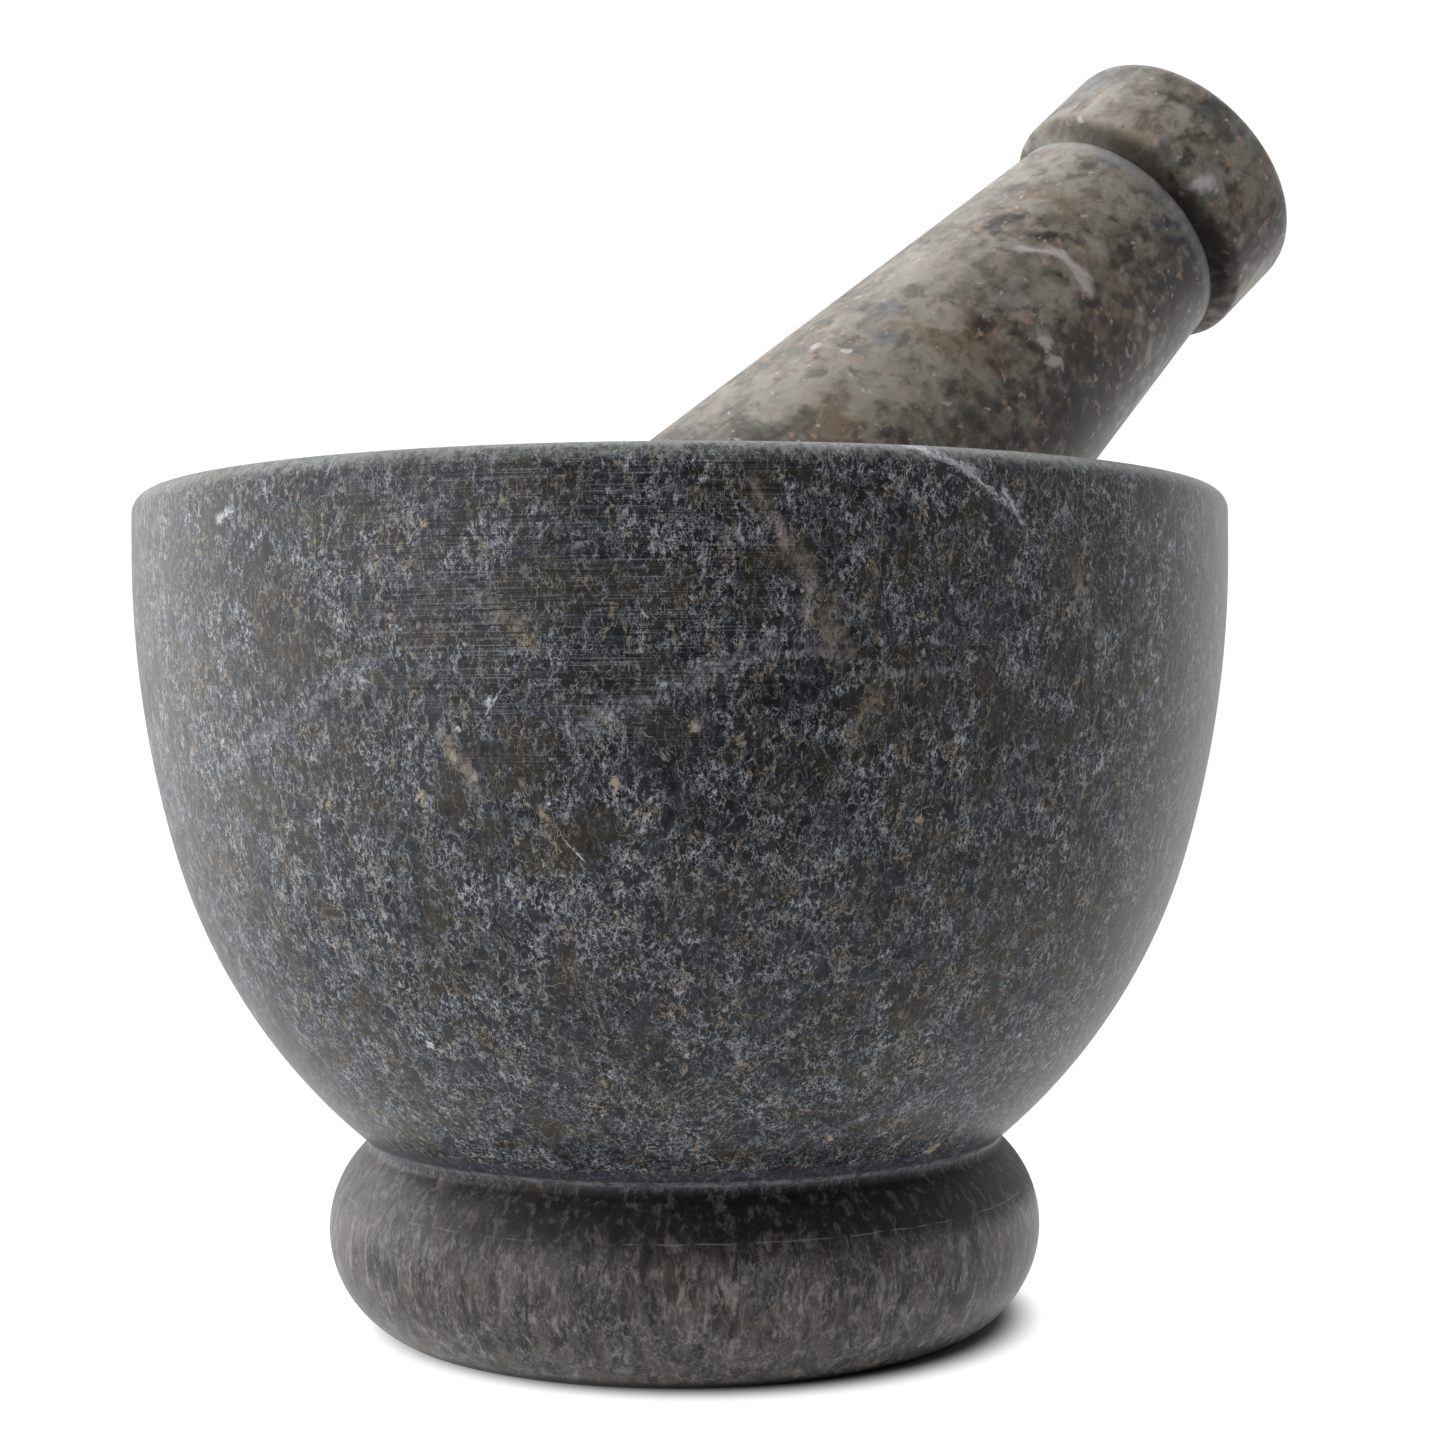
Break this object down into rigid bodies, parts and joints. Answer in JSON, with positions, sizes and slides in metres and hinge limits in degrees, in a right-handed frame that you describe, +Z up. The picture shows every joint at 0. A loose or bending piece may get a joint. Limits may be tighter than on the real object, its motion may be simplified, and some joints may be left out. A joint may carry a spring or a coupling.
{
  "type": "mortar and pestle",
  "caption": "Turned stone mortar on a rounded foot, for grinding spices and herbs, with a tapered, capped stone pestle leaning in its bowl.",
  "frame": {"origin": "centre of the mortar's flat underside, on the mortar's axis", "axes": "+Z up the mortar's axis; at rest the pestle leans 48.4 degrees from upright, towards 28 degrees from +X to +Y"},
  "size_m": [0.1137, 0.1, 0.1234],
  "materials": {
    "mortar_stone": "honed charcoal grey natural stone with olive patches and fine pale flecks, satin",
    "pestle_stone": "polished olive-brown and grey natural stone with pale veins, semi-gloss"
  },
  "bodies": {
    "mortar": {"mortar": "mortar_stone"},
    "pestle": {"pestle": "pestle_stone"}
  },
  "joints": [
    {"name": "pestle_lift", "type": "slide", "parent": "mortar", "child": "pestle", "axis": [0, 0, 1], "range_m": [0, 0.08]}
  ]
}
